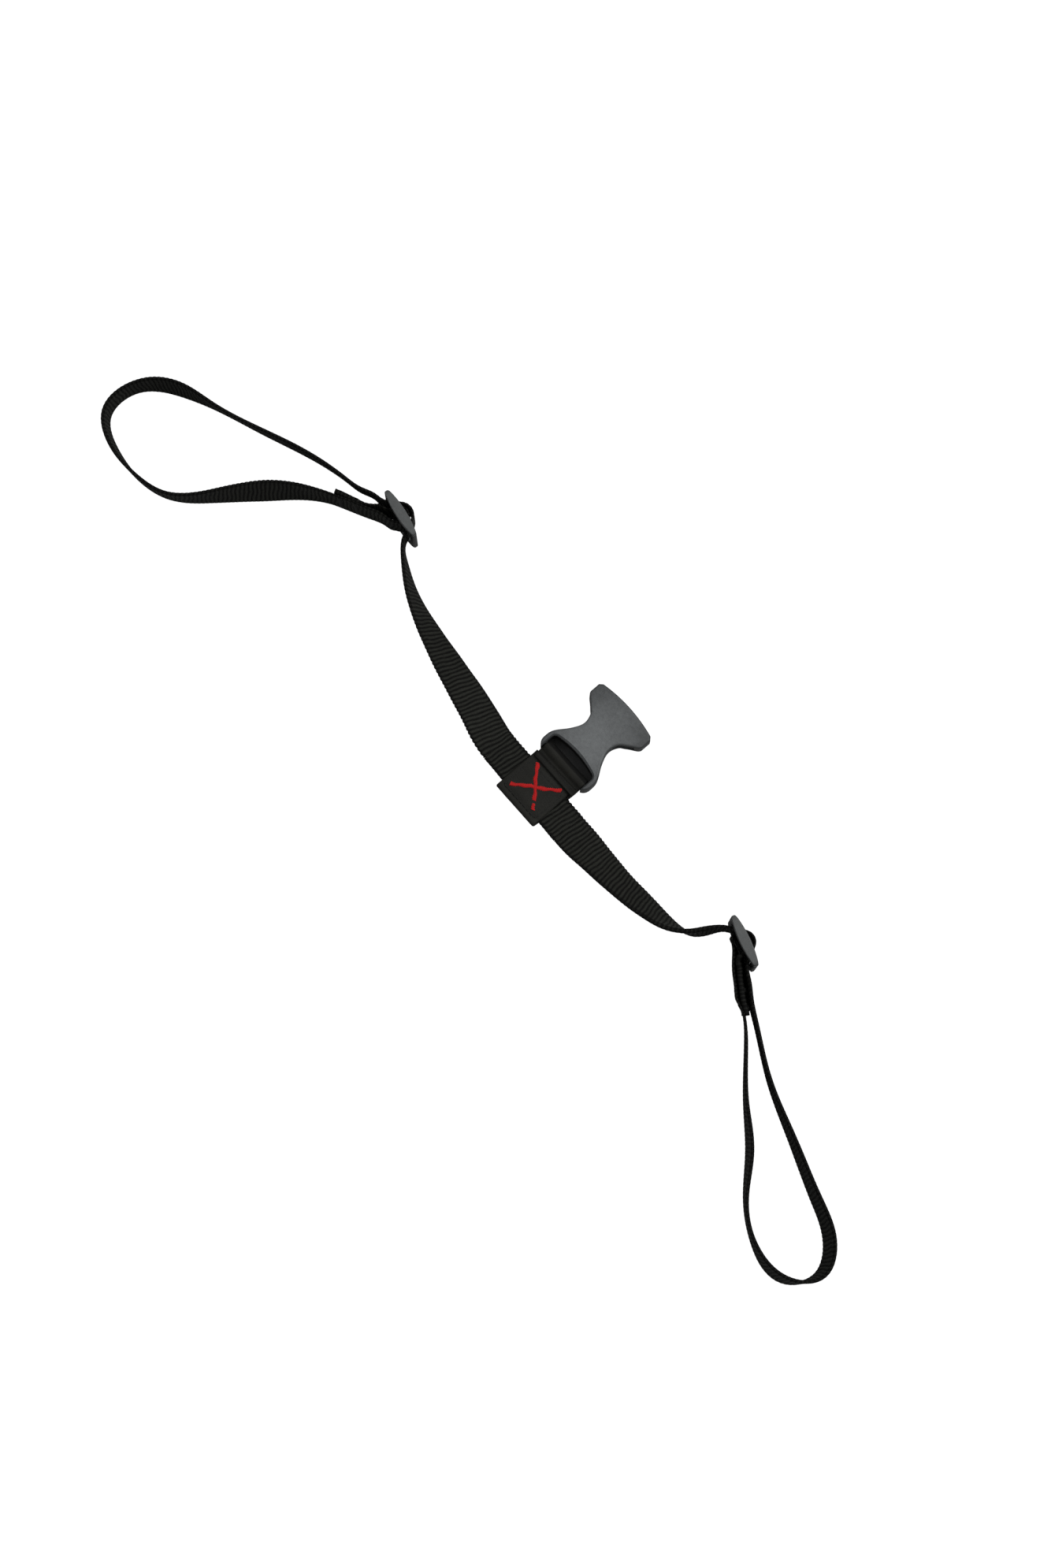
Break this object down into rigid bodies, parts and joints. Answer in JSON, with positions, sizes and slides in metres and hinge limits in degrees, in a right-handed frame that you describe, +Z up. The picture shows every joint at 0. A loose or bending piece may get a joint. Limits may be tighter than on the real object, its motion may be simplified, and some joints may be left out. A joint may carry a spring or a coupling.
{
  "type": "cross strap with buckle socket",
  "caption": "Black ribbed webbing cross strap with an adjustable slider loop at each end and a grey buckle socket on a stitched web tab",
  "frame": {"origin": "underside of the web tab, under the middle of its cross stitch, on the surface that the strap lies on", "axes": "+X along the strap towards the right-hand loop, +Y along the buckle towards its mouth, +Z up from the surface"},
  "size_m": [0.6253, 0.1485, 0.029],
  "materials": {
    "webbing_ribbed": "black polyester webbing with cross ribs, dull",
    "webbing_smooth": "black plain-woven webbing, dull with a slight sheen",
    "grey_plastic": "mid-grey acetal, satin moulded surface",
    "red_thread": "thick red sewing thread"
  },
  "bodies": {
    "strap": {"centre_strap": "webbing_ribbed", "buckle_web": "webbing_smooth", "cross_stitch": "red_thread", "left_run": "webbing_ribbed", "right_run": "webbing_ribbed"},
    "buckle": {"buckle_socket": "grey_plastic"},
    "left_adjuster": {"left_slider": "grey_plastic", "left_loop": "webbing_ribbed", "left_sewn_end": "webbing_ribbed"},
    "right_adjuster": {"right_slider": "grey_plastic", "right_loop": "webbing_ribbed", "right_sewn_end": "webbing_ribbed"}
  },
  "joints": [
    {"name": "buckle_swing", "type": "hinge", "parent": "strap", "child": "buckle", "pos_m": [0.0025, 0.0198, 0.0058], "axis": [1, 0, 0], "range_deg": [-50, 120]},
    {"name": "left_slider_travel", "type": "slide", "parent": "strap", "child": "left_adjuster", "axis": [0.9524, -0.3049, 0], "range_m": [-0.02, 0.05], "deforming": ["left_run"]},
    {"name": "right_slider_travel", "type": "slide", "parent": "strap", "child": "right_adjuster", "axis": [-0.9697, -0.2442, 0], "range_m": [-0.02, 0.04], "deforming": ["right_run"]}
  ]
}
